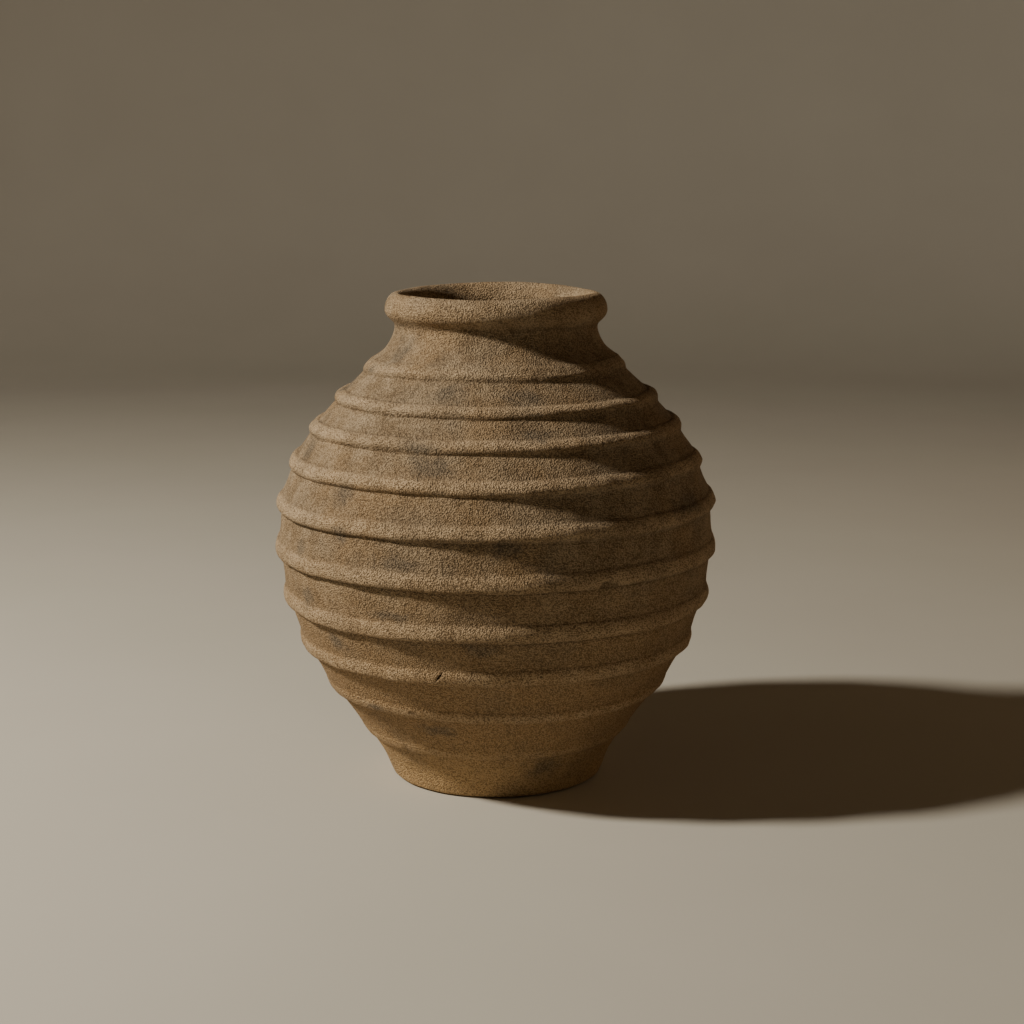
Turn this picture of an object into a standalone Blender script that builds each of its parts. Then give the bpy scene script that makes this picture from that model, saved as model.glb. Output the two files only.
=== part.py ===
"""Ribbed stoneware vase, modelled as the pieces of clay that a potter joins by hand.

A floor disc carries eleven wall courses, set one on another with bevelled lap joints. A seam band is
pressed into the groove outside each joint between two courses, and a rolled rim closes the neck.

Blender 4.5, metres, +Z up. The origin is the middle of the foot, on the surface that the vase stands on.
Every piece is turned about Z. A section is a list of (radius, height) points that runs down the piece's
outer side and back up its inner side. Joined pieces keep a slip joint of GAP between their faces.
"""
import math

import bmesh
import bpy
from mathutils import Matrix, Vector
from mathutils.geometry import interpolate_bezier

# Overall form
HEIGHT = 0.410
FOOT_RADIUS = 0.0862
BELLY_RADIUS = 0.180
BELLY_HEIGHT = 0.212
NECK_RADIUS = 0.0838
RIM_RADIUS = 0.092

# How the outline swells. A pull is a share of the height of its half of the wall; the flare is how far
# the foot leans out for each unit that it rises.
FOOT_PULL = 0.335
FOOT_FLARE = 0.42
LOWER_BELLY_PULL = 0.545
UPPER_BELLY_PULL = 0.58
NECK_PULL = 0.21

# Clay
WALL = 0.011
FLOOR = 0.015
GAP = 0.0003

# Foot
FOOT_EDGE = 0.003
FOOT_RING = 0.022
RECESS = 0.003

# Wall courses: how tall each stands beside the others, from the foot to the neck
COURSES = (44, 39, 37, 37, 41, 38, 34, 29, 24, 26, 32)
LAP_RISE = 0.005
GROOVE = 0.003

# Seam bands: how far each stands off the wall, from the foot to the shoulder
BANDS_PROUD = (0.0018, 0.0032, 0.0042, 0.0048, 0.0052, 0.0050, 0.0044, 0.0042, 0.0042, 0.0034)
BAND_ABOVE = 0.011
BAND_BELOW = 0.006
BAND_FEATHER = 0.0008

# A band's rounded face below its feathered top edge: shares of its reach above or below the joint, and
# of how far it stands proud
BAND_FACE = ((0.40, 0.75), (-0.15, 1.00), (-0.80, 0.80))

# The band whose two ends show where they butt together, and where round the vase they do
BUTTED_BAND = 3
BUTT_ANGLE = math.radians(-105)
BUTT_WIDTH = 0.0008

# Rolled rim
RIM_SEAT = 0.029
ROLL_HEIGHT = 0.026
ROLL_DEPTH = 0.020

SEGMENTS = 40
OUTLINE_STEPS = 96

# Fired clay: smoky brown at the shoulder, warmer ochre towards the foot, dusty on the raised pieces
SHOULDER_CLAY = (0.19, 0.115, 0.068)
FOOT_CLAY = (0.27, 0.150, 0.070)
DUSTY_CLAY = (0.30, 0.195, 0.120)
CLAY_ROUGHNESS = 0.9

NECK_HEIGHT = HEIGHT - RIM_SEAT


def clear_scene():
    for old in list(bpy.data.objects):
        bpy.data.objects.remove(old, do_unlink=True)


def new_collection(name):
    collection = bpy.data.collections.new(name)
    bpy.context.scene.collection.children.link(collection)
    return collection


def wall_outline():
    """The wall's outer face from the foot to the neck, as two curves that meet upright at the belly."""
    foot = Vector((FOOT_RADIUS, 0))
    belly = Vector((BELLY_RADIUS, BELLY_HEIGHT))
    neck = Vector((NECK_RADIUS, NECK_HEIGHT))
    above = NECK_HEIGHT - BELLY_HEIGHT
    foot_handle = foot + Vector((FOOT_FLARE, 1)) * FOOT_PULL * BELLY_HEIGHT
    lower_handle = belly - Vector((0, LOWER_BELLY_PULL * BELLY_HEIGHT))
    upper_handle = belly + Vector((0, UPPER_BELLY_PULL * above))
    neck_handle = neck - Vector((0, NECK_PULL * above))
    lower = interpolate_bezier(foot, foot_handle, lower_handle, belly, OUTLINE_STEPS)
    upper = interpolate_bezier(belly, upper_handle, neck_handle, neck, OUTLINE_STEPS)
    return lower + upper[1:]


OUTLINE = wall_outline()


def on_wall(height):
    """The point of the outline at a height. Past the foot or the neck it carries on upright."""
    if height <= OUTLINE[0].y:
        return Vector((OUTLINE[0].x, height))
    for low, high in zip(OUTLINE, OUTLINE[1:]):
        if height <= high.y:
            share = (height - low.y) / (high.y - low.y)
            return low.lerp(high, share)
    return Vector((OUTLINE[-1].x, height))


def outward(height):
    """The unit vector that points straight out of the wall at a height."""
    step = WALL / 10
    up = on_wall(height + step) - on_wall(height - step)
    return Vector((up.y, -up.x)).normalized()


def upward(height):
    out = outward(height)
    return Vector((-out.y, out.x))


def seam_heights():
    """Heights of the joints between courses, from the lowest to the highest."""
    heights = []
    reached = 0
    for course in COURSES[:-1]:
        reached += course
        heights.append(NECK_HEIGHT * reached / sum(COURSES))
    return heights


def lap(height, groove):
    """The two ends of a joint's bevelled face: at the bottom of its groove, and on the inside of the wall."""
    outer = on_wall(height) - outward(height) * groove
    inner = on_wall(height) - outward(height) * WALL + upward(height) * LAP_RISE
    return outer, inner


def lap_side(height, groove, side):
    """The face of a lap joint moved half a gap up (side 1) or down (side -1), square to itself."""
    outer, inner = lap(height, groove)
    along = (inner - outer).normalized()
    square = Vector((-along.y, along.x))
    if square.y < 0:
        square.negate()
    shift = square * side * GAP / 2
    return outer + shift, inner + shift


def offset_line(points, distance):
    """An open line moved sideways by a distance, to the left of its run, with mitred corners."""
    sideways = []
    for start, end in zip(points, points[1:]):
        run = (end - start).normalized()
        sideways.append(Vector((-run.y, run.x)))
    moved = [points[0] + sideways[0] * distance]
    for corner, before, after in zip(points[1:-1], sideways, sideways[1:]):
        moved.append(corner + (before + after) * distance / (1 + before.dot(after)))
    moved.append(points[-1] + sideways[-1] * distance)
    return moved


def clay_material(name, colour):
    material = bpy.data.materials.new(name)
    material.use_nodes = True
    surface = material.node_tree.nodes["Principled BSDF"]
    surface.inputs["Base Color"].default_value = (*colour, 1)
    surface.inputs["Roughness"].default_value = CLAY_ROUGHNESS
    surface.inputs["Metallic"].default_value = 0
    material.diffuse_color = (*colour, 1)
    return material


def mixed(first, second, share):
    return tuple(a + (b - a) * share for a, b in zip(first, second))


def turned(name, section, colour, closed=True):
    """A piece turned about Z from its section. An open section starts and ends on the axis."""
    mesh = bpy.data.meshes.new(name)
    edges = [(i, i + 1) for i in range(len(section) - 1)]
    if closed:
        edges.append((len(section) - 1, 0))
    mesh.from_pydata([(x, 0, z) for x, z in section], edges, [])
    mesh.materials.append(clay_material(name + "_clay", colour))
    piece = bpy.data.objects.new(name, mesh)
    VASE.objects.link(piece)
    screw = piece.modifiers.new("Turn", "SCREW")
    screw.steps = SEGMENTS
    screw.render_steps = SEGMENTS
    screw.use_merge_vertices = True
    screw.merge_threshold = 0.0001
    screw.use_smooth_shade = True
    return piece


def floor_seam():
    """Height of the joint round the floor disc, where its bevel's inner end comes level with the floor."""
    seam = FLOOR / 2
    for _ in range(20):
        inner = lap(seam, 0)[1]
        seam += FLOOR - inner.y
    return seam


def make_floor_disc(seam):
    """The disc that the wall stands on: bevelled round its top, rounded at the foot, recessed underneath."""
    outer, inner = lap_side(seam, 0, -1)
    recess_radius = FOOT_RADIUS - FOOT_RING
    edge_centre = on_wall(FOOT_EDGE) - Vector((FOOT_EDGE, 0))
    section = [Vector((0, inner.y)), inner, outer]
    for degrees in (0, -45, -90):
        angle = math.radians(degrees)
        section.append(edge_centre + Vector((math.cos(angle), math.sin(angle))) * FOOT_EDGE)
    section += [
        Vector((recess_radius, 0)),
        Vector((recess_radius - RECESS, RECESS)),
        Vector((0, RECESS)),
    ]
    return turned("floor_disc", section, FOOT_CLAY, closed=False)


def make_wall_course(number, low, high, low_groove, high_groove):
    """One strap of the wall. Each end is bevelled to lap its neighbour, and cut back for half a groove."""
    middle = (low + high) / 2
    outer_middle = on_wall(middle)
    inner_middle = outer_middle - outward(middle) * WALL
    top_outer, top_inner = lap_side(high, high_groove, -1)
    foot_outer, foot_inner = lap_side(low, low_groove, 1)
    section = [top_outer]
    if high_groove:
        section.append(groove_lip(high, outer_middle))
    section.append(outer_middle)
    if low_groove:
        section.append(groove_lip(low, outer_middle))
    section += [foot_outer, foot_inner, inner_middle, top_inner]
    share = middle / NECK_HEIGHT
    return turned(f"wall_course_{number:02}", section, mixed(FOOT_CLAY, SHOULDER_CLAY, share))


def groove_lip(height, towards):
    """Where a groove's side meets the face of the wall."""
    seam = on_wall(height)
    return seam + (towards - seam).normalized() * GROOVE


def make_seam_band(number, below, seam, above, proud):
    """A strip of clay pressed into the groove round a joint: feathered on top, thick at its lower edge."""
    centre = on_wall(seam)
    out = outward(seam)
    up = upward(seam)
    wall_up = (on_wall(above) - centre).normalized()
    wall_down = (on_wall(below) - centre).normalized()
    seat = [
        centre + wall_down * BAND_BELOW,
        centre + wall_down * GROOVE,
        centre - out * GROOVE,
        centre + wall_up * GROOVE,
        centre + wall_up * BAND_ABOVE,
    ]
    inner = offset_line(seat, -GAP)
    outer = [inner[-1] + Vector((wall_up.y, -wall_up.x)) * BAND_FEATHER]
    for along, share in BAND_FACE:
        reach = BAND_ABOVE if along > 0 else BAND_BELOW
        outer.append(centre + up * along * reach + out * share * proud)
    colour = mixed(DUSTY_CLAY, FOOT_CLAY, 0.5 - 0.5 * seam / NECK_HEIGHT)
    return turned(f"seam_band_{number:02}", outer + inner, colour)


def open_butt_joint(band, seam):
    """Cuts the narrow gap where a band's two ends meet, with a thin box across the band."""
    cutter_mesh = bpy.data.meshes.new("butt_joint_cutter")
    blade = bmesh.new()
    bmesh.ops.create_cube(blade, size=1)
    depth = BAND_ABOVE + BAND_BELOW
    bmesh.ops.scale(blade, vec=(depth, BUTT_WIDTH, depth * 4), verts=blade.verts)
    bmesh.ops.translate(blade, vec=(on_wall(seam).x, 0, seam), verts=blade.verts)
    bmesh.ops.rotate(blade, cent=(0, 0, 0), matrix=Matrix.Rotation(BUTT_ANGLE, 3, "Z"), verts=blade.verts)
    blade.to_mesh(cutter_mesh)
    blade.free()
    cutter = bpy.data.objects.new("butt_joint_cutter", cutter_mesh)
    cutter.hide_render = True
    cutter.display_type = "WIRE"
    CUTTERS.objects.link(cutter)
    cut = band.modifiers.new("Butt joint", "BOOLEAN")
    cut.operation = "DIFFERENCE"
    cut.solver = "EXACT"
    cut.object = cutter


def make_rolled_rim():
    """The thick coil rolled over the neck: an oval roll that hangs out over the wall and leans in below."""
    outer, inner = lap_side(NECK_HEIGHT, 0, 1)
    centre = Vector((RIM_RADIUS - ROLL_DEPTH / 2, HEIGHT - ROLL_HEIGHT / 2))
    roll = []
    for degrees in (180, 150, 120, 90, 60, 30, 0, -45):
        angle = math.radians(degrees)
        roll.append(centre + Vector((math.cos(angle) * ROLL_DEPTH, math.sin(angle) * ROLL_HEIGHT)) / 2)
    section = roll + [outer, inner]
    return turned("rolled_rim", section, DUSTY_CLAY)


def make_vase():
    seams = seam_heights()
    make_floor_disc(floor_seam())
    ends = [floor_seam()] + seams + [NECK_HEIGHT]
    grooves = [0] + [GROOVE] * len(seams) + [0]
    for i in range(len(COURSES)):
        make_wall_course(i + 1, ends[i], ends[i + 1], grooves[i], grooves[i + 1])
    middles = [(low + high) / 2 for low, high in zip(ends, ends[1:])]
    for i, (seam, proud) in enumerate(zip(seams, BANDS_PROUD)):
        band = make_seam_band(i + 1, middles[i], seam, middles[i + 1], proud)
        if i + 1 == BUTTED_BAND:
            open_butt_joint(band, seam)
    make_rolled_rim()


clear_scene()
VASE = new_collection("stoneware_vase")
CUTTERS = new_collection("cutters")
make_vase()
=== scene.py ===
import math
import random

import bmesh
import bpy
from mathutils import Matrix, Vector, noise
from mathutils.geometry import interpolate_bezier


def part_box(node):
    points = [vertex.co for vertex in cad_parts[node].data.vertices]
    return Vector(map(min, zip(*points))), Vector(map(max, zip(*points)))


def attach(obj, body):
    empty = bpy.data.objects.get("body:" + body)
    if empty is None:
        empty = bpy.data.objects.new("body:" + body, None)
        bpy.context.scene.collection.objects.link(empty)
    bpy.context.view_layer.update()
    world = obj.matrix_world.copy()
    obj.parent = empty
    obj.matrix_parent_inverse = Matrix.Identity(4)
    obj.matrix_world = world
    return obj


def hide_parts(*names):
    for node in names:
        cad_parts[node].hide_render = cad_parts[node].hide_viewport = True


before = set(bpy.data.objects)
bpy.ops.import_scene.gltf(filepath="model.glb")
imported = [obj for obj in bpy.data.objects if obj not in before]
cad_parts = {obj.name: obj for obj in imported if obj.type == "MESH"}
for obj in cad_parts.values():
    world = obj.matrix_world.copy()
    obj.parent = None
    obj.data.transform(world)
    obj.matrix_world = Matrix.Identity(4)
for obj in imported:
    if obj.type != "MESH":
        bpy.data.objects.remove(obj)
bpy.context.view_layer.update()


# ---------------------------------------------------------------------------------------------------
# Floor disc
# A slab of coarse stoneware, beaten flat, that the pot is built up on. It is bevelled under the first
# course, rounded at the foot, and scraped hollow underneath so that the vase stands on a flat ring.
# ---------------------------------------------------------------------------------------------------
FLOOR_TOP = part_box("floor_disc")[1].z
FOOT_RADIUS = 0.0848
FOOT_RING = 0.022
RECESS = 0.003
FOOT_EDGE = 0.0012
BEVEL_INNER_RADIUS = 0.0815
BEVEL_FOOT = 0.0052
POLE_HOLE = 0.0005
SLAB_ROW = 0.003
SLAB_STEPS = 360
SLAB_UNEVENNESS = 0.6
ON_TABLE = 0.0004
STEPS_ROUND = 720
MERGE_GAP = 0.00001
SHARPEST_SMOOTH_EDGE = math.radians(50)


def new_section(points, values=None):
    """A bmesh that holds one section in the XZ plane: its (radius, height) points, joined in order."""
    clay = bmesh.new()
    layers = [clay.verts.layers.float.new(name) for name in (values or {})]
    corners = []
    for i, (radius, height) in enumerate(points):
        corner = clay.verts.new((radius, 0, height))
        for layer, numbers in zip(layers, (values or {}).values()):
            corner[layer] = numbers[i]
        corners.append(corner)
    for first, second in zip(corners, corners[1:]):
        clay.edges.new((first, second))
    return clay


def close_section(clay):
    clay.verts.ensure_lookup_table()
    clay.edges.new((clay.verts[-1], clay.verts[0]))


def spin_round(clay, steps=STEPS_ROUND):
    """Turns the section once about Z and closes the seam and the poles."""
    outline = clay.verts[:] + clay.edges[:]
    bmesh.ops.spin(
        clay, geom=outline, cent=(0, 0, 0), axis=(0, 0, 1), angle=math.tau, steps=steps, use_merge=True
    )
    bmesh.ops.remove_doubles(clay, verts=clay.verts, dist=MERGE_GAP)
    bmesh.ops.recalc_face_normals(clay, faces=clay.faces)


def spread(points, step):
    """The same line with more points, no further apart than a step."""
    dense = [Vector(points[0])]
    for start, end in zip(points, points[1:]):
        start, end = Vector(start), Vector(end)
        count = max(1, math.ceil((end - start).length / step))
        dense += [start.lerp(end, (i + 1) / count) for i in range(count)]
    return dense


# How wide each kind of unevenness in the clay is, and how high
SWELL_SIZE = 0.085
SWELL_HEIGHT = 0.0009
PRESS_SIZE = 0.030
PRESS_HEIGHT = 0.00045
PRESS_ELSEWHERE = Vector((7, 3, 1))
KNEAD_SIZE = 0.012
KNEAD_HEIGHT = 0.00016


def hand_worked(place):
    """How far the potter's hands left the clay proud of a true turned shape, in metres."""
    swell = noise.noise(place / SWELL_SIZE) * SWELL_HEIGHT
    press = noise.noise(place / PRESS_SIZE + PRESS_ELSEWHERE) * PRESS_HEIGHT
    knead = noise.fractal(place / KNEAD_SIZE, 1.0, 2.0, 2) * KNEAD_HEIGHT
    return swell + press + knead


def set_down(clay, name, material):
    """Makes a finished shape an object in the scene, smoothly shaded and in one material."""
    mesh = bpy.data.meshes.new(name)
    clay.to_mesh(mesh)
    clay.free()
    mesh.shade_smooth()
    mesh.materials.append(material)
    piece = bpy.data.objects.new(name, mesh)
    bpy.context.scene.collection.objects.link(piece)
    return piece


def finish_piece(clay, name, material, nodes):
    """Makes the shaped clay an object that rides on the vase and stands for its solid in the frame."""
    smoke = clay.verts.layers.float.new("smoke")
    for corner in clay.verts:
        corner[smoke] = touched_by_smoke(corner.co)
    piece = set_down(clay, name, material)
    piece.data.set_sharp_from_angle(angle=SHARPEST_SMOOTH_EDGE)
    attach(piece, "root")
    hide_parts(*nodes)


def add_node(tree, kind, **settings):
    made = tree.nodes.new(kind)
    for key, value in settings.items():
        setattr(made, key, value)
    return made


def join(tree, source, target):
    tree.links.new(source, target)


def new_group(name, inputs, outputs):
    """An empty shader group with named sockets: (name, socket kind, default)."""
    group = bpy.data.node_groups.new(name, "ShaderNodeTree")
    for label, kind, default in inputs:
        socket = group.interface.new_socket(label, in_out="INPUT", socket_type=kind)
        if default is not None:
            socket.default_value = default
    for label, kind in outputs:
        group.interface.new_socket(label, in_out="OUTPUT", socket_type=kind)
    entry = group.nodes.new("NodeGroupInput")
    leave = group.nodes.new("NodeGroupOutput")
    return group, entry, leave


def maths(tree, operation, first, second, clamp=False):
    """A Math node fed by sockets or plain numbers. Returns its result."""
    node = add_node(tree, "ShaderNodeMath", operation=operation, use_clamp=clamp)
    for socket, value in zip(node.inputs, (first, second)):
        if isinstance(value, (int, float)):
            socket.default_value = value
        else:
            join(tree, value, socket)
    return node.outputs[0]


def ramp(tree, value, low, high, to_low=0.0, to_high=1.0):
    """A smooth step of a value between two limits."""
    node = add_node(tree, "ShaderNodeMapRange", interpolation_type="SMOOTHSTEP")
    join(tree, value, node.inputs["Value"])
    for label, number in (("From Min", low), ("From Max", high), ("To Min", to_low), ("To Max", to_high)):
        node.inputs[label].default_value = number
    return node.outputs["Result"]


def cloud(tree, place, scale, detail=3.0, roughness=0.55, stretch=None):
    """A Noise texture at so many swirls to the metre. Stretched, its swirls lie level round the pot."""
    if stretch:
        mapping = add_node(tree, "ShaderNodeMapping")
        mapping.inputs["Scale"].default_value = stretch
        join(tree, place, mapping.inputs["Vector"])
        place = mapping.outputs["Vector"]
    node = add_node(tree, "ShaderNodeTexNoise")
    node.inputs["Scale"].default_value = scale
    node.inputs["Detail"].default_value = detail
    node.inputs["Roughness"].default_value = roughness
    join(tree, place, node.inputs["Vector"])
    return node.outputs["Fac"]


# The sizes of what is in the clay, as multiples of the sand's grains to the metre
GRAINS_PER_METRE = 900.0
LUMP_SCALE = 0.4
PIT_SCALE = 0.16
PEBBLE_SCALE = 0.86
# How much each adds to the height of the clay's skin, or takes from it
SAND_HEIGHT = 0.46
LUMP_HEIGHT = 0.20
PEBBLE_HEIGHT = 0.34
PIT_DEPTH = 0.4


def make_grog_group():
    """Coarse sand and grog in the clay: a bumpy height with open pits, and the same height as a grain mask,
    which also sets painted shade in low grains and painted highlight on high ones.
    """
    group, entry, leave = new_group(
        "Coarse grog",
        [("Place", "NodeSocketVector", None), ("Grains per metre", "NodeSocketFloat", GRAINS_PER_METRE)],
        [("Height", "NodeSocketFloat"), ("Grain", "NodeSocketFloat")],
    )
    place = entry.outputs["Place"]
    scale = entry.outputs["Grains per metre"]

    sand = add_node(group, "ShaderNodeTexNoise")
    sand.inputs["Detail"].default_value = 1.0
    sand.inputs["Roughness"].default_value = 0.5
    join(group, place, sand.inputs["Vector"])
    join(group, scale, sand.inputs["Scale"])

    lumps = add_node(group, "ShaderNodeTexNoise")
    lumps.inputs["Detail"].default_value = 1.0
    join(group, place, lumps.inputs["Vector"])
    join(group, maths(group, "MULTIPLY", scale, LUMP_SCALE), lumps.inputs["Scale"])

    cells = add_node(group, "ShaderNodeTexVoronoi", feature="F1")
    join(group, place, cells.inputs["Vector"])
    join(group, maths(group, "MULTIPLY", scale, PIT_SCALE), cells.inputs["Scale"])
    chosen = add_node(group, "ShaderNodeSeparateColor")
    join(group, cells.outputs["Color"], chosen.inputs["Color"])
    in_pit = ramp(group, cells.outputs["Distance"], 0.20, 0.08)
    pits = maths(group, "MULTIPLY", in_pit, ramp(group, chosen.outputs["Red"], 0.86, 0.90))

    pebbles = add_node(group, "ShaderNodeTexVoronoi", feature="F1")
    join(group, place, pebbles.inputs["Vector"])
    join(group, maths(group, "MULTIPLY", scale, PEBBLE_SCALE), pebbles.inputs["Scale"])
    rounded = maths(group, "SUBTRACT", 1.0, pebbles.outputs["Distance"])
    pebble = maths(group, "MULTIPLY", rounded, PEBBLE_HEIGHT)

    fine = maths(group, "MULTIPLY", sand.outputs["Fac"], SAND_HEIGHT)
    height = maths(group, "ADD", fine, maths(group, "MULTIPLY", lumps.outputs["Fac"], LUMP_HEIGHT))
    height = maths(group, "ADD", height, pebble)
    join(group, ramp(group, height, 0.37, 0.62), leave.inputs["Grain"])
    pitted = maths(group, "SUBTRACT", height, maths(group, "MULTIPLY", pits, PIT_DEPTH))
    join(group, pitted, leave.inputs["Height"])
    return group


RAGGED_SWIRLS = 95.0
RAGGEDNESS = 2.6
HAZE_SWIRLS = 22.0


def make_smoke_group():
    """Grey clouds that the kiln's smoke left, ragged where they thin out, and a broad faint haze."""
    group, entry, leave = new_group(
        "Kiln smoke",
        [("Place", "NodeSocketVector", None), ("Touched", "NodeSocketFloat", 0.0)],
        [("Smoke", "NodeSocketFloat"), ("Haze", "NodeSocketFloat")],
    )
    ragged = cloud(group, entry.outputs["Place"], RAGGED_SWIRLS, detail=6.0, roughness=0.72)
    loose = maths(group, "SUBTRACT", ragged, 0.5)
    edge = maths(group, "ADD", entry.outputs["Touched"], maths(group, "MULTIPLY", loose, RAGGEDNESS))
    join(group, ramp(group, edge, 0.15, 1.05), leave.inputs["Smoke"])
    broad = cloud(group, entry.outputs["Place"], HAZE_SWIRLS, detail=4.0, roughness=0.6)
    join(group, ramp(group, broad, 0.46, 0.72), leave.inputs["Haze"])
    return group


RUBBED_SWIRLS = 48.0
LEAST_RUBBED = 0.35
LEAST_DUSTY_GRAIN = 0.3


def make_crest_and_crease_group():
    """Dust on what stands proud, which also paints highlight there, broken up by the grain, and painted
    shade in the creases.
    """
    group, entry, leave = new_group(
        "Crest dust and highlight, crease shade",
        [
            ("Place", "NodeSocketVector", None),
            ("Crest", "NodeSocketFloat", 0.0),
            ("Crease", "NodeSocketFloat", 0.0),
            ("Grain", "NodeSocketFloat", 0.5),
        ],
        [("Dust and highlight", "NodeSocketFloat"), ("Painted shade", "NodeSocketFloat")],
    )
    patchy = ramp(group, cloud(group, entry.outputs["Place"], RUBBED_SWIRLS, detail=4.0), 0.35, 0.66)
    share = maths(group, "ADD", maths(group, "MULTIPLY", patchy, 1 - LEAST_RUBBED), LEAST_RUBBED)
    # Crest share: real dust on what stands proud, and painted highlight on the lit upper side of each bead
    rubbed = maths(group, "MULTIPLY", entry.outputs["Crest"], share)
    dusty = maths(group, "MULTIPLY", entry.outputs["Grain"], 1 - LEAST_DUSTY_GRAIN)
    grains = maths(group, "ADD", dusty, LEAST_DUSTY_GRAIN)
    join(group, maths(group, "MULTIPLY", rubbed, grains, clamp=True), leave.inputs["Dust and highlight"])
    # Crease share, passed on as painted shade
    join(group, maths(group, "MULTIPLY", entry.outputs["Crease"], 1.0, clamp=True), leave.inputs["Painted shade"])
    return group


GROG = make_grog_group()
SMOKE = make_smoke_group()
CREST_AND_CREASE = make_crest_and_crease_group()

PALE_CLAY = (0.340, 0.254, 0.160, 1)
DARK_CLAY = (0.190, 0.130, 0.072, 1)
OCHRE_CLAY = (0.315, 0.194, 0.088, 1)
# Paler ochre at the foot: the foot's ochre clay with painted bounce light from the floor
FOOT_OCHRE_AND_BOUNCE = (0.500, 0.325, 0.150, 1)
SMOKED_CLAY = (0.080, 0.071, 0.056, 1)
# Pale dust, also used as painted highlight on bead tops, the rim's top and high grains
DUST_AND_HIGHLIGHT = (0.492, 0.355, 0.215, 1)
# Painted shade: the near-black laid into creases under lips, over beads, under the rim's roll, in knocks and
# in the grain's hollows
PAINTED_SHADE = (0.060, 0.038, 0.020, 1)

# Heights between which the body turns ochre, and then to a paler foot colour that paints in light bounced up
# from the floor
OCHRE_FROM = 0.27
OCHRE_FULL = 0.05
FOOT_FROM = 0.075
FOOT_FULL = 0.015
# The most that each layer hides of what is under it
FOOT_BOUNCE_COVER = 0.85
WIPED_COVER = 0.5
HAZE_COVER = 0.28
SMOKE_COVER = 0.62
PAINTED_SHADE_COVER = 0.6
# Painted shade in the grain's hollows and painted highlight on its high grains
GRAIN_HOLLOW_SHADE_COVER = 0.52
GLINT_COVER = 0.34
MOTTLE_SWIRLS = 42.0
WIPED_SWIRLS = 14.0
GRAIN_HEIGHT = 0.0028
# Where the foot was scraped: heights at which the lines come in and go out, and how they lie
SCRAPED_IN = (0.012, 0.030)
SCRAPED_OUT = (0.056, 0.044)
SCRAPE_LINES = (7, 7, 420)

# The sockets of a Mix node that is set to colours
MIX_SHARE = 0
MIX_BELOW = 6
MIX_ABOVE = 7
MIX_RESULT = 2


def blend_colour(tree, share, below, above):
    """Lays one colour over another by a share. Each may be a socket or a plain colour."""
    node = add_node(tree, "ShaderNodeMix", data_type="RGBA")
    join(tree, share, node.inputs[MIX_SHARE])
    for socket, value in ((node.inputs[MIX_BELOW], below), (node.inputs[MIX_ABOVE], above)):
        if isinstance(value, tuple):
            socket.default_value = value
        else:
            join(tree, value, socket)
    return node.outputs[MIX_RESULT]


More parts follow.
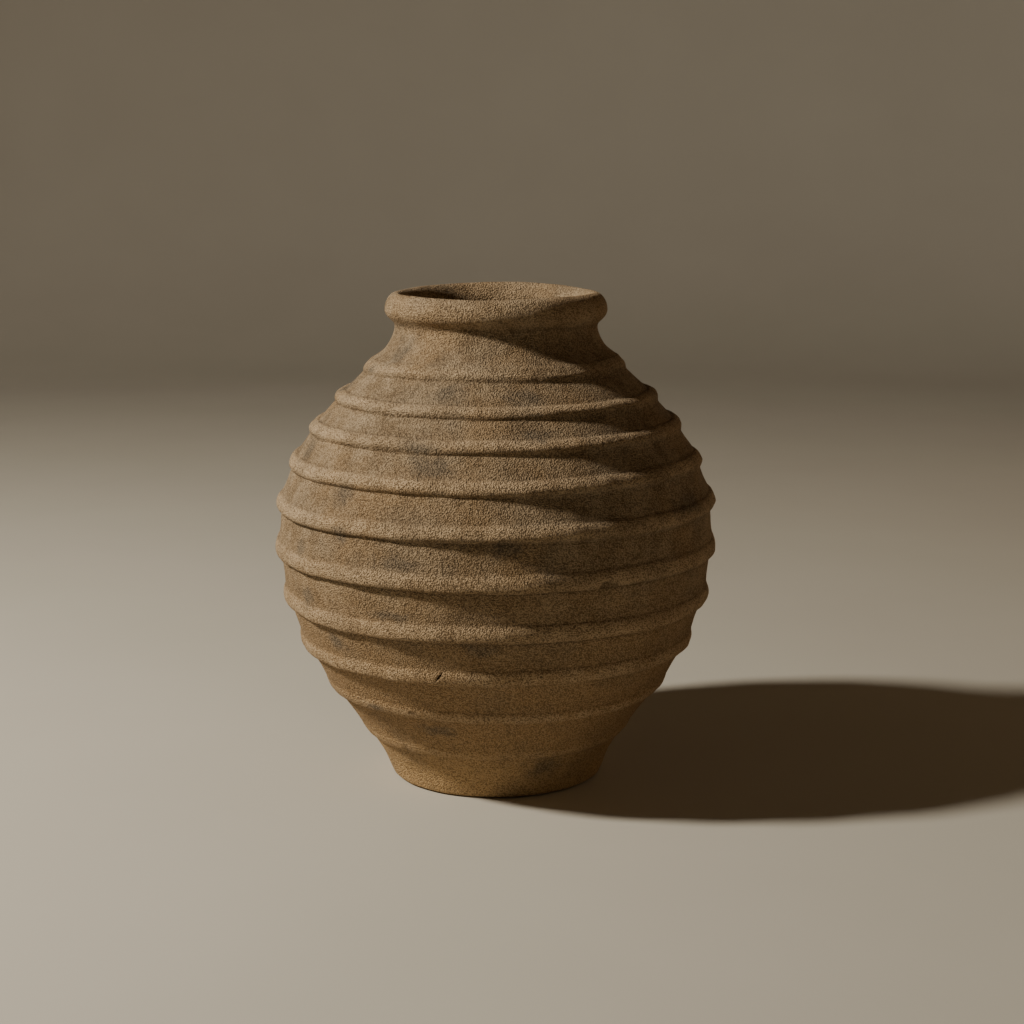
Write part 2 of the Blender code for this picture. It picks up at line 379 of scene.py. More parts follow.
def fired_clay(name, dust_and_highlight_share=1.0, smoke=1.0, scraped=0.0):
    """Unglazed fired clay. The shares say how much crest dust and painted highlight, smoke and scraping this
    part of the pot takes.
    """
    material = bpy.data.materials.new(name)
    material.use_nodes = True
    tree = material.node_tree
    surface = tree.nodes["Principled BSDF"]
    place = add_node(tree, "ShaderNodeTexCoord").outputs["Object"]
    apart = add_node(tree, "ShaderNodeSeparateXYZ")
    join(tree, place, apart.inputs[0])
    crest = add_node(tree, "ShaderNodeAttribute", attribute_name="crest").outputs["Fac"]
    crease = add_node(tree, "ShaderNodeAttribute", attribute_name="crease").outputs["Fac"]
    touched = add_node(tree, "ShaderNodeAttribute", attribute_name="smoke").outputs["Fac"]

    grog = add_node(tree, "ShaderNodeGroup", node_tree=GROG)
    join(tree, place, grog.inputs["Place"])
    clouds = add_node(tree, "ShaderNodeGroup", node_tree=SMOKE)
    join(tree, place, clouds.inputs["Place"])
    join(tree, touched, clouds.inputs["Touched"])
    crest_and_crease_node = add_node(tree, "ShaderNodeGroup", node_tree=CREST_AND_CREASE)
    join(tree, place, crest_and_crease_node.inputs["Place"])
    join(tree, crest, crest_and_crease_node.inputs["Crest"])
    join(tree, crease, crest_and_crease_node.inputs["Crease"])
    join(tree, grog.outputs["Grain"], crest_and_crease_node.inputs["Grain"])

    height_up = apart.outputs["Z"]
    body = ramp(tree, cloud(tree, place, MOTTLE_SWIRLS, detail=6.0, roughness=0.7), 0.36, 0.64)
    wiped = ramp(tree, cloud(tree, place, WIPED_SWIRLS, detail=5.0), 0.42, 0.66)
    wiped = maths(tree, "MULTIPLY", wiped, WIPED_COVER)
    low = maths(tree, "MAXIMUM", ramp(tree, height_up, OCHRE_FROM, OCHRE_FULL), wiped)
    # Painted bounce light: the clay turns paler towards the foot
    foot = ramp(tree, height_up, FOOT_FROM, FOOT_FULL, 0.0, FOOT_BOUNCE_COVER)
    haze = maths(tree, "MULTIPLY", clouds.outputs["Haze"], HAZE_COVER * smoke)
    # Crest dust with painted highlight
    crest_dust_and_highlight = maths(tree, "MULTIPLY", crest_and_crease_node.outputs["Dust and highlight"], dust_and_highlight_share)
    smoked = maths(tree, "MULTIPLY", clouds.outputs["Smoke"], SMOKE_COVER * smoke)
    # Painted shade in the creases
    crease_shade = maths(tree, "MULTIPLY", crest_and_crease_node.outputs["Painted shade"], PAINTED_SHADE_COVER)
    # Painted shade in low grains and painted glints on high ones, both following the grain's height
    grain_hollow_shade = ramp(tree, grog.outputs["Grain"], 0.50, 0.05, 0.0, GRAIN_HOLLOW_SHADE_COVER)
    glints = ramp(tree, grog.outputs["Grain"], 0.62, 0.95, 0.0, GLINT_COVER)
    colour = blend_colour(tree, body, DARK_CLAY, PALE_CLAY)
    for share, layer in (
        (low, OCHRE_CLAY),
        (foot, FOOT_OCHRE_AND_BOUNCE),
        (haze, SMOKED_CLAY),
        (crest_dust_and_highlight, DUST_AND_HIGHLIGHT),
        (smoked, SMOKED_CLAY),
        (crease_shade, PAINTED_SHADE),
        (grain_hollow_shade, PAINTED_SHADE),
        (glints, DUST_AND_HIGHLIGHT),
    ):
        colour = blend_colour(tree, share, colour, layer)
    join(tree, colour, surface.inputs["Base Color"])

    join(tree, ramp(tree, grog.outputs["Grain"], 0.0, 1.0, 0.96, 0.84), surface.inputs["Roughness"])
    surface.inputs["Specular IOR Level"].default_value = 0.25
    bump = add_node(tree, "ShaderNodeBump")
    bump.inputs["Strength"].default_value = 1.0
    bump.inputs["Distance"].default_value = GRAIN_HEIGHT
    height = grog.outputs["Height"]
    if scraped:
        lines = cloud(tree, place, 1.0, detail=3.0, roughness=0.6, stretch=SCRAPE_LINES)
        zone = ramp(tree, height_up, *SCRAPED_IN)
        zone = maths(tree, "MULTIPLY", zone, ramp(tree, height_up, *SCRAPED_OUT))
        marks = maths(tree, "MULTIPLY", maths(tree, "MULTIPLY", lines, zone), scraped)
        height = maths(tree, "ADD", height, marks)
    join(tree, height, bump.inputs["Height"])
    join(tree, bump.outputs["Normal"], surface.inputs["Normal"])
    return material


# Where smoke touched the wall: degrees round from the right, height, width round and depth up the wall
SMOKE_TOUCHES = (
    (-146, 0.364, 0.014, 0.012),
    (-159, 0.348, 0.012, 0.005),
    (-110, 0.337, 0.016, 0.008),
    (-80, 0.334, 0.020, 0.006),
    (-78, 0.307, 0.020, 0.006),
    (-112, 0.298, 0.020, 0.006),
    (-108, 0.285, 0.024, 0.010),
    (-161, 0.283, 0.012, 0.010),
    (-134, 0.259, 0.017, 0.010),
    (-132, 0.229, 0.013, 0.009),
    (-115, 0.212, 0.024, 0.007),
    (-88, 0.227, 0.015, 0.010),
    (-149, 0.211, 0.010, 0.010),
    (-148, 0.171, 0.012, 0.010),
    (-118, 0.170, 0.022, 0.005),
    (-138, 0.138, 0.012, 0.008),
    (-95, 0.146, 0.016, 0.008),
    (-132, 0.083, 0.014, 0.004),
    (-112, 0.067, 0.016, 0.007),
    (-68, 0.028, 0.017, 0.012),
    (-32, 0.245, 0.030, 0.011),
    (12, 0.300, 0.024, 0.010),
    (38, 0.180, 0.034, 0.012),
    (70, 0.255, 0.022, 0.009),
    (96, 0.110, 0.036, 0.011),
    (110, 0.290, 0.020, 0.007),
    (124, 0.330, 0.022, 0.010),
    (148, 0.215, 0.026, 0.010),
    (170, 0.105, 0.022, 0.008),
    (-175, 0.330, 0.016, 0.008),
)


SMOKE_REACH = 1.8
SMOKE_FALL = 1.2


def touched_by_smoke(place):
    """How strongly smoke marked a place on the pot, from 0 to 1."""
    angle = math.degrees(math.atan2(place.y, place.x))
    reach = math.hypot(place.x, place.y)
    most = 0.0
    for where, height, width, depth in SMOKE_TOUCHES:
        up = (place.z - height) / depth
        if abs(up) > SMOKE_REACH:
            continue
        apart = (angle - where + 180) % 360 - 180
        along = math.radians(apart) * reach / width
        most = max(most, math.exp(-SMOKE_FALL * (up * up + along * along)))
    return most


def make_floor_disc(material):
    recess_radius = FOOT_RADIUS - FOOT_RING
    section = [(0, FLOOR_TOP)] + spread(
        [
            (POLE_HOLE, FLOOR_TOP),
            (BEVEL_INNER_RADIUS, FLOOR_TOP),
            (FOOT_RADIUS, BEVEL_FOOT),
            (FOOT_RADIUS, FOOT_EDGE),
            (FOOT_RADIUS - FOOT_EDGE, 0),
            (recess_radius, 0),
            (recess_radius - RECESS, RECESS),
            (POLE_HOLE, RECESS),
        ],
        SLAB_ROW,
    ) + [(0, RECESS)]
    clay = new_section(section)
    spin_round(clay, steps=SLAB_STEPS)
    for corner in clay.verts:
        on_table = corner.co.z < ON_TABLE
        away = Vector((corner.co.x, corner.co.y, 0))
        if not on_table and away.length < FOOT_RADIUS - FOOT_EDGE:
            corner.co.z += hand_worked(corner.co.copy()) * SLAB_UNEVENNESS
    finish_piece(clay, "floor_slab", material, ["floor_disc"])


make_floor_disc(fired_clay("floor_clay", dust_and_highlight_share=0.5, smoke=0.5))


# ---------------------------------------------------------------------------------------------------
# Wall courses
# Eleven straps of clay set one on another, each bevelled to lap the one below. The outside is paddled
# and wiped smooth up to the bands. Inside, each strap's faint swelling was left between its two joints.
# ---------------------------------------------------------------------------------------------------
WALL_FOOT = 0.0862
NECK_RADIUS = 0.0838
NECK_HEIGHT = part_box("rolled_rim")[0].z
BELLY_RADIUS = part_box("wall_course_06")[1].x
BELLY_HEIGHT = 0.212
# How the outline leaves the foot and comes to the belly and the neck
FOOT_LEAN = 0.42
FOOT_PULL = 0.335
BELLY_PULL_BELOW = 0.545
BELLY_PULL_ABOVE = 0.58
NECK_PULL = 0.21
OUTLINE_POINTS = 160
WALL = 0.011
# How much higher a joint's inner edge is than its outer one, and the gap left along its bevel
LAP_RISE = 0.005
LAP_GAP = 0.0002
# The most between one row of points and the next, outside and inside
ROW = 0.0016
INNER_ROW = 0.005
COURSE_COUNT = 11


def draw_outline():
    """The wall's outer face from the foot to the neck: two curves that meet upright at the belly."""
    foot = Vector((WALL_FOOT, 0))
    belly = Vector((BELLY_RADIUS, BELLY_HEIGHT))
    neck = Vector((NECK_RADIUS, NECK_HEIGHT))
    above = NECK_HEIGHT - BELLY_HEIGHT
    leave_foot = foot + Vector((FOOT_LEAN, 1)) * FOOT_PULL * BELLY_HEIGHT
    reach_belly = belly - Vector((0, BELLY_PULL_BELOW * BELLY_HEIGHT))
    leave_belly = belly + Vector((0, BELLY_PULL_ABOVE * above))
    reach_neck = neck - Vector((0, NECK_PULL * above))
    lower = interpolate_bezier(foot, leave_foot, reach_belly, belly, OUTLINE_POINTS)
    upper = interpolate_bezier(belly, leave_belly, reach_neck, neck, OUTLINE_POINTS)
    return lower + upper[1:]


OUTLINE = draw_outline()
LENGTHS = [0.0]
for lower_point, upper_point in zip(OUTLINE, OUTLINE[1:]):
    LENGTHS.append(LENGTHS[-1] + (upper_point - lower_point).length)


def up_the_wall(height):
    """The length along the outline from the foot to a height."""
    for i in range(len(OUTLINE) - 1):
        if height <= OUTLINE[i + 1].y:
            share = (height - OUTLINE[i].y) / (OUTLINE[i + 1].y - OUTLINE[i].y)
            return LENGTHS[i] + share * (LENGTHS[i + 1] - LENGTHS[i])
    return LENGTHS[-1] + height - OUTLINE[-1].y


WALL_STEP = 0.0005
PAST_THE_ENDS = 0.03
WALL_TABLE = []


def chart_wall():
    """Notes the wall's place and its way out every half millimetre, a little past both ends."""
    i = 0
    count = math.ceil((LENGTHS[-1] + 2 * PAST_THE_ENDS) / WALL_STEP)
    places = []
    for k in range(count):
        along = k * WALL_STEP - PAST_THE_ENDS
        while i < len(LENGTHS) - 2 and LENGTHS[i + 1] < along:
            i += 1
        run = (OUTLINE[i + 1] - OUTLINE[i]) / (LENGTHS[i + 1] - LENGTHS[i])
        places.append(OUTLINE[i] + run * (along - LENGTHS[i]))
    for k in range(count):
        run = (places[min(k + 2, count - 1)] - places[max(k - 2, 0)]).normalized()
        WALL_TABLE.append((places[k].x, places[k].y, run.y, -run.x))


chart_wall()


def on_wall(along, off):
    """Radius and height of a spot so far up the wall and so far off its face."""
    place = (along + PAST_THE_ENDS) / WALL_STEP
    k = min(max(int(place), 0), len(WALL_TABLE) - 2)
    share = place - k
    a, b = WALL_TABLE[k], WALL_TABLE[k + 1]
    radius, height, out_r, out_z = (m + (n - m) * share for m, n in zip(a, b))
    return radius + out_r * off, height + out_z * off


def wall_section(spots):
    """Points of a section given as (along, off), and the same spots as layers for shaping later."""
    points = [on_wall(along, off) for along, off in spots]
    return new_section(points, {"along": [s[0] for s in spots], "off": [s[1] for s in spots]})


def shape_on_wall(clay, shift):
    """Moves every corner to where a shift of (along, off) at its angle round the vase puts it."""
    along_layer = clay.verts.layers.float["along"]
    off_layer = clay.verts.layers.float["off"]
    for corner in clay.verts:
        angle = math.atan2(corner.co.y, corner.co.x)
        along, off = shift(corner[along_layer], corner[off_layer], angle, corner)
        radius, height = on_wall(along, off)
        corner.co = (radius * math.cos(angle), radius * math.sin(angle), height)


# How far the painted shade of a crease reaches below a lip, and behind it
CREASE_REACH = 0.0035
CREASE_UNDER_LIP = 0.004
STRAP_SWELL = 0.0012
# Added to a place inside, so that its unevenness is not the outside's
INSIDE_ELSEWHERE = Vector((0.5, 0.2, 0))
# How far down inside the first course reaches beside the floor disc
SLAB_OVERLAP = 0.004
# The first course's outer edge, rolled under: along the wall from its lower end, and off the face
FOOT_TUCK = ((-0.0006, -0.0003), (-0.0010, -0.0012), (-0.0008, -0.0040))
# How far the first course flares at the foot, from where, and over what length
FLARE = 0.0016
FLARE_FROM = 0.006
FLARE_LENGTH = 0.020


def smoothed(value):
    """A smooth step from 0 to 1."""
    value = min(max(value, 0.0), 1.0)
    return value * value * (3 - 2 * value)


def make_wall_course(number, low, high, creases, material):
    """One strap from the joint below it to the joint above it, as lengths up the wall."""
    top_in = high + LAP_RISE - LAP_GAP
    low_in = low + LAP_RISE + LAP_GAP
    outer = spread([(high - LAP_GAP, 0), (low + LAP_GAP, 0)], ROW)
    if number == 1:
        low_in = up_the_wall(FLOOR_TOP) - SLAB_OVERLAP
        outer += [Vector((low + along, off)) for along, off in FOOT_TUCK]
    inner = spread([(low_in, -WALL), (top_in, -WALL)], INNER_ROW)
    clay = wall_section(outer + inner)
    close_section(clay)
    spin_round(clay)

    def shift(along, off, angle, corner):
        true = Vector(corner.co)
        if off > -0.5 * WALL:
            flare = FLARE * smoothed(1 - (along - FLARE_FROM) / FLARE_LENGTH) if number == 1 else 0
            return along, off + hand_worked(true) + flare
        between = smoothed((along - low_in) / (top_in - low_in))
        swell = math.sin(math.pi * between) * STRAP_SWELL
        return along, off - swell + hand_worked(true + INSIDE_ELSEWHERE)

    crease = clay.verts.layers.float.new("crease")
    crest = clay.verts.layers.float.new("crest")
    along_layer = clay.verts.layers.float["along"]
    off_layer = clay.verts.layers.float["off"]
    shape_on_wall(clay, shift)
    for corner in clay.verts:
        corner[crest] = 0.0
        # Painted shade on the wall under each band's lip, fading down the wall
        shade_below_lip = 0.0
        if corner[off_layer] > -0.5 * WALL:
            for line, depth in creases:
                gap = line - corner[along_layer]
                if gap > -CREASE_UNDER_LIP:
                    shade_below_lip = max(shade_below_lip, depth * (1 - smoothed(gap / CREASE_REACH)))
        corner[crease] = shade_below_lip
    finish_piece(clay, f"course_{number:02}", material, [f"wall_course_{number:02}"])


# How far each joint's band hangs over a clean crease below it (1), or is smeared away (0), foot first
UNDERCUTS = (0.42, 0.66, 0.88, 0.94, 0.88, 0.60, 0.45, 0.42, 0.42, 0.34)
# How the wall's height is shared among the courses, foot first
COURSE_SHARES = (44, 39, 37, 37, 41, 38, 34, 29, 24, 26, 32)
FIRST_COURSE_FOOT = 0.0026
LIP_DROP = 0.0058

seam_heights = []
for i in range(1, COURSE_COUNT):
    seam_heights.append(NECK_HEIGHT * sum(COURSE_SHARES[:i]) / sum(COURSE_SHARES))
seams = [up_the_wall(height) for height in seam_heights]
ends = [up_the_wall(FIRST_COURSE_FOOT)] + seams + [up_the_wall(NECK_HEIGHT)]
wall_clay = fired_clay("wall_clay", scraped=0.6)
foot_clay = fired_clay("foot_clay", scraped=1.5)
# Each crease's painted shade is as deep as the band's undercut
creases = [(seam - LIP_DROP, depth) for seam, depth in zip(seams, UNDERCUTS)]
for i in range(COURSE_COUNT):
    material = wall_clay if i else foot_clay
    make_wall_course(i + 1, ends[i], ends[i + 1], creases[max(0, i - 1):i + 1], material)


# ---------------------------------------------------------------------------------------------------
# Seam bands
# A rolled strip of clay pressed into the groove outside each joint. The potter feathered its upper edge
# into the wall and left the lower one hanging as a rounded lip, or smeared it down on the pot's right.
# ---------------------------------------------------------------------------------------------------
# All foot first: how much of a band's height is left at the upper edge of its round bead
SHOULDERS = (0.50, 0.36, 0.20, 0.20, 0.33, 0.32, 0.30, 0.16, 0.13, 0.86)
# How far above its crest the bead ends
BEADS_UP = (0.007, 0.008, 0.0095, 0.010, 0.010, 0.009, 0.0085, 0.0078, 0.0075, 0.008)
# How far each band sags on the pot's left side
SAGS = (0.0010, 0.0, 0.0007, 0.0004, 0.0006, 0.0008, 0.0014, 0.0013, 0.0004, 0.0030)
# How far its crest stands off the wall
PROUD = (0.0018, 0.0032, 0.0042, 0.0048, 0.0052, 0.0050, 0.0044, 0.0042, 0.0040, 0.0030)
# Where the crest lies, measured up the wall from the joint
CREST = -0.001
REACH_UP = 0.022
REACH_DOWN = 0.0078
LIP_REACH = 0.0047
DIP = 0.00005
BACK = 0.0025
BACK_SPOTS = (-0.002, 0.003, 0.009)


def curve(start, first, second, end, count):
    """Points of a curve with two handles, without its first point."""
    return interpolate_bezier(Vector(start), Vector(first), Vector(second), Vector(end), count + 1)[1:]


def band_section(seam, proud, bead_up, shoulder):
    """(along, off) spots of a band with a hanging lip, and of the same band with its lip smeared down."""
    rest = proud * shoulder
    feather = Vector((REACH_UP, -DIP))
    shoulder_edge = (bead_up, rest)
    crown = (0, proud)
    lip_edge = (-LIP_REACH, 0.44 * proud)
    lip_root = (-0.0034, -0.0004)
    top = [feather]
    top += curve(feather, (0.018, 0), (bead_up + 0.004, 0.62 * rest), shoulder_edge, 7)
    top += curve(shoulder_edge, (0.86 * bead_up, rest + 0.34 * proud), (0.52 * bead_up, proud), crown, 12)
    lip = curve(crown, (-0.0022, proud), (-LIP_REACH, 0.86 * proud), lip_edge, 9)
    lip += curve(lip_edge, (-LIP_REACH, 0.18 * proud), (-0.0042, 0.04 * proud), lip_root, 6)
    smeared = curve(crown, (-0.0034, proud), (-0.0044, 0.12 * proud), (-REACH_DOWN, -DIP), 15)
    back = [Vector((along, -BACK)) for along in BACK_SPOTS]
    place = Vector((seam + CREST, 0))
    return [place + spot for spot in top + lip + back], [place + spot for spot in top + smeared + back]


SEED_APART = 3.7
NOISE_GAIN = 1.6


def round_noise(angle, turns, seed):
    """Smooth noise that closes on itself round the vase, from about -1 to 1."""
    ring = Vector((math.cos(angle) * turns, math.sin(angle) * turns, seed * SEED_APART))
    return noise.noise(ring) * NOISE_GAIN


# The band whose two ends were butted, where, how far ajar they stand and how the joint slants
JOINT_BAND = 3
JOINT_ANGLE = math.radians(-106.7)
JOINT_AJAR = 0.0015
JOINT_HEIGHT = 0.0050
AJAR_TALLNESS = 0.0026
JOINT_SLANT = 0.75
SLANT_REACH = 0.012
# More steps round this band, drawn closer together near the joint
JOINT_STEPS = 1200
JOINT_CROWDING = 0.8
JOINT_LEFT = 0.002


def bell(value, middle, width):
    return math.exp(-((value - middle) / width) ** 2)


def spin_to_joint(clay, seam):
    """Turns a band that was not closed on itself: its two butted ends stand a little ajar on the crest."""
    first = clay.edges[:]
    outline = clay.verts[:] + first
    nearly_round = math.tau - JOINT_LEFT
    turned = bmesh.ops.spin(
        clay, geom=outline, cent=(0, 0, 0), axis=(0, 0, 1), angle=nearly_round, steps=JOINT_STEPS
    )
    last = [part for part in turned["geom_last"] if isinstance(part, bmesh.types.BMEdge)]
    bmesh.ops.contextual_create(clay, geom=first)
    bmesh.ops.contextual_create(clay, geom=last)
    bmesh.ops.recalc_face_normals(clay, faces=clay.faces)
    along_layer = clay.verts.layers.float["along"]
    beside = clay.verts.layers.float.new("beside_joint")
    for corner in clay.verts:
        reach = math.hypot(corner.co.x, corner.co.y)
        turn = (math.atan2(corner.co.y, corner.co.x) + JOINT_LEFT / 2) % math.tau - JOINT_LEFT / 2
        share = turn / nearly_round
        eased = share - JOINT_CROWDING * math.sin(math.tau * share) / math.tau
        up = corner[along_layer] - seam - CREST
        ajar = JOINT_AJAR * bell(up, JOINT_HEIGHT, AJAR_TALLNESS) / reach
        angle = JOINT_ANGLE + ajar + eased * (math.tau - 2 * ajar)
        near = min(eased, 1 - eased) * math.tau * reach
        angle += JOINT_SLANT * up / reach * math.exp(-near / SLANT_REACH)
        corner[beside] = near if eased < 0.5 else -near
        corner.co = (reach * math.cos(angle), reach * math.sin(angle), corner.co.z)


CHIPS_PER_BAND = 5
CHIP_SIZES = (0.0018, 0.0038)
CHIP_HEIGHTS = (-0.004, 0.003)
CHIP_DEPTH = 0.16
CHIP_BITE = 0.10
CHIP_TALLNESS = 0.003
# The lip that was knocked off in one place: angle, height above the crest, size, depth and bite upwards
WORN_BAND = 5
WORN_CHIPS = (
    (math.radians(-62.5), -0.0030, 0.0046, 0.0030, 0.0024),
    (math.radians(-60.0), -0.0030, 0.0024, 0.0014, 0.0008),
)


def chips_on(number):
    """Small knocks on a band: angle, height above its crest, size, depth and how far they bite upwards."""
    dice = random.Random(number * 31)
    chips = []
    for _ in range(CHIPS_PER_BAND):
        size = dice.uniform(*CHIP_SIZES)
        angle = dice.uniform(-math.pi, math.pi)
        chips.append((angle, dice.uniform(*CHIP_HEIGHTS), size, size * CHIP_DEPTH, size * CHIP_BITE))
    if number == WORN_BAND:
        chips.extend(WORN_CHIPS)
    return chips


# How much more a lip is smeared on the pot's right, and how much that changes at random
SMEARED_RIGHT = 0.60
SMEAR_CHANGE = 0.22
# How far a band strays from its level, in a long sway and in short ones
LONG_SWAY = 0.0010
SHORT_SWAY = 0.0005
# How much its thickness changes, in long swellings and in short ones
LONG_SWELLING = 0.16
SHORT_SWELLING = 0.08
PINCH_SIZE = 0.016
PINCH_HEIGHT = 0.0003
# How far off the wall the clay has to stand to be worked in full
SKIN = 0.002
# At the butt joint: how tall, deep and wide the crack is, and how its right-hand end was pressed up
CRACK_TALLNESS = 0.0036
CRACK_DEPTH = 0.0008
CRACK_WIDTH = 0.0006
PRESSED_UP = 0.0005
PRESSED_REACH = 0.0045
OTHER_END = 0.2
# How dark the painted shade is on the ledge over the bead, and in the hollow above it
LEDGE_SHADE = 0.95
SHADE_OVER_BEAD = 0.26
# A crest that stands this far off takes all its dust and painted highlight, and a knock this deep all its
# painted shade
FULL_CREST = 0.004
SCARRED = 0.0013


def make_seam_band(number, seam, proud, undercut, bead_up, shoulder, sag, material):
    lip, smeared = band_section(seam, proud, bead_up, shoulder)
    points = [on_wall(along, off) for along, off in lip]
    clay = new_section(points, {
        "along": [s[0] for s in lip],
        "off": [s[1] for s in lip],
        "smeared_along": [s[0] for s in smeared],
        "smeared_off": [s[1] for s in smeared],
    })
    close_section(clay)
    butted = number == JOINT_BAND
    if butted:
        spin_to_joint(clay, seam)
    else:
        spin_round(clay)
    layers = clay.verts.layers.float
    smeared_along = layers["smeared_along"]
    smeared_off = layers["smeared_off"]
    beside = layers["beside_joint"] if butted else None
    chips = chips_on(number)
    crest_line = seam + CREST

    def knocks(up, angle, reach):
        """(share, depth, bite) of each chip that touches this spot."""
        for where, height, size, depth, bite in chips:
            apart = abs((angle - where + math.pi) % math.tau - math.pi) * reach
            if apart < 3 * size:
                yield math.exp(-(apart / size) ** 2) * bell(up, height, CHIP_TALLNESS), depth, bite

    def shift(along, off, angle, corner):
        up = along - crest_line
        tight = undercut + SMEAR_CHANGE * round_noise(angle, 5, number + 20)
        tight -= SMEARED_RIGHT * max(0.0, math.cos(angle))
        tight = min(max(tight, 0.0), 1.0)
        along = corner[smeared_along] + (along - corner[smeared_along]) * tight
        off = corner[smeared_off] + (off - corner[smeared_off]) * tight
        sway = LONG_SWAY * round_noise(angle, 1.3, number) + SHORT_SWAY * round_noise(angle, 5, number + 40)
        stand = 1 + LONG_SWELLING * round_noise(angle, 3, number + 60)
        stand += SHORT_SWELLING * round_noise(angle, 14, number + 80)
        true = Vector(corner.co)
        if off > 0:
            off *= stand
        skin = smoothed(off / SKIN)
        pinch = noise.noise(true / PINCH_SIZE + Vector((0, 0, number))) * PINCH_HEIGHT * skin
        reach = math.hypot(true.x, true.y)
        for knock, depth, bite in knocks(up, angle, reach):
            off -= depth * knock * skin
            along += bite * knock * skin
        if butted:
            open_share = bell(up, JOINT_HEIGHT, CRACK_TALLNESS) * skin
            near = abs(corner[beside])
            end = 1 if corner[beside] > 0 else OTHER_END
            off -= CRACK_DEPTH * open_share * math.exp(-near / CRACK_WIDTH)
            off += PRESSED_UP * open_share * math.exp(-near / PRESSED_REACH) * end
        sway -= sag * max(0.0, -math.cos(angle)) ** 2
        return along + sway, off + hand_worked(true) + pinch

    crease = layers.new("crease")
    crest = layers.new("crest")
    off_layer = layers["off"]
    along_layer = layers["along"]
    for corner in clay.verts:
        up = corner[along_layer] - crest_line
        stands = smoothed(corner[off_layer] / proud)
        # Crest mask: dust and painted highlight over the crown and upper side of the bead, fading out above
        # the lip
        from_edge = smoothed((bead_up + 0.0004 - up) / (0.0014 + 0.0090 * shoulder))
        to_lip = smoothed((up + 0.0042) / 0.0040)
        corner[crest] = from_edge * to_lip * min(1.0, proud / FULL_CREST)
        # Crease mask: painted shade under the lip, on the ledge and in the hollow above the bead, and in
        # knocks
        sunk = smoothed((-0.0030 - up) / 0.002) * (1 - stands)
        ledge = LEDGE_SHADE * (0.7 - shoulder) * bell(up, bead_up + 0.0006, 0.0013)
        hollow = SHADE_OVER_BEAD * (1 - shoulder) * bell(up, bead_up + 0.0056, 0.0050)
        angle = math.atan2(corner.co.y, corner.co.x)
        reach = math.hypot(corner.co.x, corner.co.y)
        scars = [knock * depth / SCARRED for knock, depth, bite in knocks(up, angle, reach)]
        corner[crease] = max(sunk * (0.4 + 0.6 * undercut), ledge, hollow, min(1.0, max(scars, default=0.0)))
    shape_on_wall(clay, shift)
    finish_piece(clay, f"band_{number:02}", material, [f"seam_band_{number:02}"])


band_clay = fired_clay("band_clay", scraped=0.6)
for i, sizes in enumerate(zip(seams, PROUD, UNDERCUTS, BEADS_UP, SHOULDERS, SAGS)):
    make_seam_band(i + 1, *sizes, band_clay)


# ---------------------------------------------------------------------------------------------------
# Rolled rim
# One thick coil laid on the neck, rolled over outwards between the fingers and compressed on top. It is
# wiped down into the neck inside and out.
# ---------------------------------------------------------------------------------------------------
RIM_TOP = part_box("rolled_rim")[1].z
RIM_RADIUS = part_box("rolled_rim")[1].x
RIM_CREST = 0.0825
RIM_DIP = 0.0030
RIM_SWAY = 0.0005
MOUTH_RADIUS = 0.0726
# How far below the top the roll is widest, and where its underside turns into the neck
WIDEST_DOWN = 0.0135
TUCK_RADIUS = 0.0845
TUCK_UP = 0.0012
RIM_DUST_AND_HIGHLIGHT = 0.50
# How dark the painted shade is in the crease under the roll
TUCK_SHADE = 0.7


def make_rim(material):
    widest = RIM_TOP - WIDEST_DOWN
    inner_low = (0.0734, NECK_HEIGHT - 0.003)
    outer_low = (NECK_RADIUS + 0.0003, NECK_HEIGHT - 0.008)
    mouth = (MOUTH_RADIUS, widest - 0.004)
    top = (RIM_CREST, RIM_TOP)
    side = (RIM_RADIUS, widest)
    tuck = (TUCK_RADIUS, NECK_HEIGHT + TUCK_UP)
    section = [Vector(inner_low)]
    section += curve(inner_low, (0.0730, NECK_HEIGHT + 0.003), (MOUTH_RADIUS, widest - 0.009), mouth, 8)
    section += curve(mouth, (MOUTH_RADIUS, RIM_TOP - 0.008), (0.0782, RIM_TOP), top, 14)
    section += curve(top, (0.0880, RIM_TOP), (RIM_RADIUS, widest + 0.0065), side, 14)
    section += curve(side, (RIM_RADIUS, widest - 0.0042), (0.0862, NECK_HEIGHT + 0.0050), tuck, 14)
    section += curve(tuck, (0.0839, NECK_HEIGHT + 0.0003), (0.0838, NECK_HEIGHT - 0.003), outer_low, 6)
    section += [Vector((0.0800, NECK_HEIGHT - 0.004)), Vector((0.0770, NECK_HEIGHT - 0.003))]
    clay = new_section(section)
    close_section(clay)
    spin_round(clay)
    crest = clay.verts.layers.float.new("crest")
    crease = clay.verts.layers.float.new("crease")
    clay.normal_update()
    for corner in clay.verts:
        angle = math.atan2(corner.co.y, corner.co.x)
        lift = smoothed((corner.co.z - NECK_HEIGHT) / 0.012)
        out = corner.normal.copy()
        true = corner.co.copy()
        # Dust and painted highlight, stronger towards the rim's top
        corner[crest] = RIM_DUST_AND_HIGHLIGHT * smoothed((corner.co.z - NECK_HEIGHT - 0.004) / 0.010)
        # Painted shade in the crease under the roll
        outside = smoothed((math.hypot(true.x, true.y) - 0.080) / 0.003)
        corner[crease] = outside * TUCK_SHADE * bell(true.z, tuck[1], 0.0016)
        corner.co += out * hand_worked(true)
        dip = RIM_DIP * (1 - max(0.0, math.sin(angle)) ** 1.5)
        corner.co.z += lift * (RIM_SWAY * round_noise(angle, 1.1, 5) - dip)
    finish_piece(clay, "rim_roll", material, ["rolled_rim"])


make_rim(fired_clay("rim_clay", dust_and_highlight_share=0.8))


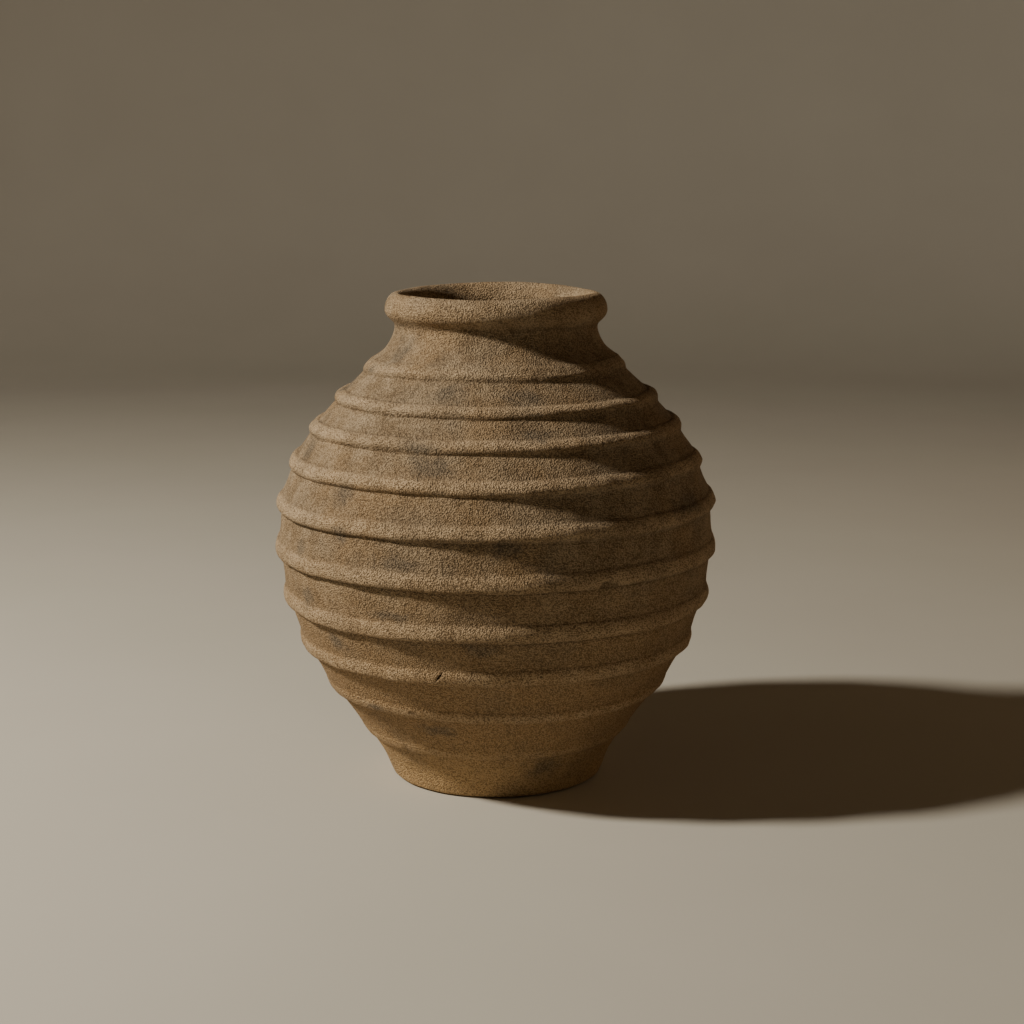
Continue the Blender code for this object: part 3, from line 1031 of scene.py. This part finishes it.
# ---------------------------------------------------------------------------------------------------
# Studio
# A plain plaster floor that curves up into a wall all round, one warm lamp high on the left for clear
# shadows, and a weak broad one on the right and a little behind.
# ---------------------------------------------------------------------------------------------------
FLOOR_FLAT = 3.0
WALL_AWAY = 4.2
WALL_TOP = 3.2
STAGE_STEPS = 96
PLASTER = (0.47, 0.435, 0.365, 1)
PALER_PLASTER = (0.52, 0.485, 0.410, 1)
PLASTER_SWIRLS = 3.0
LAMP_AIM = (0, 0, 0.2)
AIR_COLOUR = (1.0, 0.50, 0.16, 1)
AIR_BRIGHTNESS = 0.030
CAMERA_LENS = 70
CAMERA_SENSOR = 36
CAMERA_PLACE = (0, -1.65, 0.523)
CAMERA_TILT_DOWN = 10.32
CAMERA_TURN = -0.466


def pale_plaster():
    paint = bpy.data.materials.new("pale_plaster")
    paint.use_nodes = True
    tree = paint.node_tree
    surface = tree.nodes["Principled BSDF"]
    place = add_node(tree, "ShaderNodeTexCoord").outputs["Object"]
    tone = cloud(tree, place, PLASTER_SWIRLS)
    join(tree, blend_colour(tree, tone, PLASTER, PALER_PLASTER), surface.inputs["Base Color"])
    surface.inputs["Roughness"].default_value = 0.8
    return paint


def make_stage():
    section = [Vector((0, 0)), Vector((FLOOR_FLAT, 0))]
    section += curve((FLOOR_FLAT, 0), (3.8, 0), (WALL_AWAY, 0.5), (WALL_AWAY, 1.4), 16)
    section += [Vector((WALL_AWAY, WALL_TOP))]
    floor = new_section(section)
    spin_round(floor, steps=STAGE_STEPS)
    bmesh.ops.reverse_faces(floor, faces=floor.faces)
    set_down(floor, "studio_floor", pale_plaster())


def hang_lamp(name, place, size, power, colour):
    data = bpy.data.lights.new(name, "AREA")
    data.shape = "DISK"
    data.size = size
    data.energy = power
    data.color = colour
    light = bpy.data.objects.new(name, data)
    light.location = place
    light.rotation_euler = (Vector(LAMP_AIM) - Vector(place)).to_track_quat("-Z", "Y").to_euler()
    bpy.context.scene.collection.objects.link(light)


def make_camera():
    data = bpy.data.cameras.new("camera")
    data.lens = CAMERA_LENS
    data.sensor_width = CAMERA_SENSOR
    camera = bpy.data.objects.new("camera", data)
    camera.location = CAMERA_PLACE
    camera.rotation_euler = (math.radians(90 - CAMERA_TILT_DOWN), 0, math.radians(CAMERA_TURN))
    bpy.context.scene.collection.objects.link(camera)
    bpy.context.scene.camera = camera


make_stage()
hang_lamp("window", (-1.953, -0.479, 1.848), size=0.27, power=95, colour=(1.0, 0.94, 0.83))
hang_lamp("fill", (2.05, 0.85, 0.45), size=1.4, power=3.4, colour=(1.0, 0.60, 0.28))
world = bpy.data.worlds.new("studio_air")
world.use_nodes = True
world.node_tree.nodes["Background"].inputs["Color"].default_value = AIR_COLOUR
world.node_tree.nodes["Background"].inputs["Strength"].default_value = AIR_BRIGHTNESS
bpy.context.scene.world = world
make_camera()
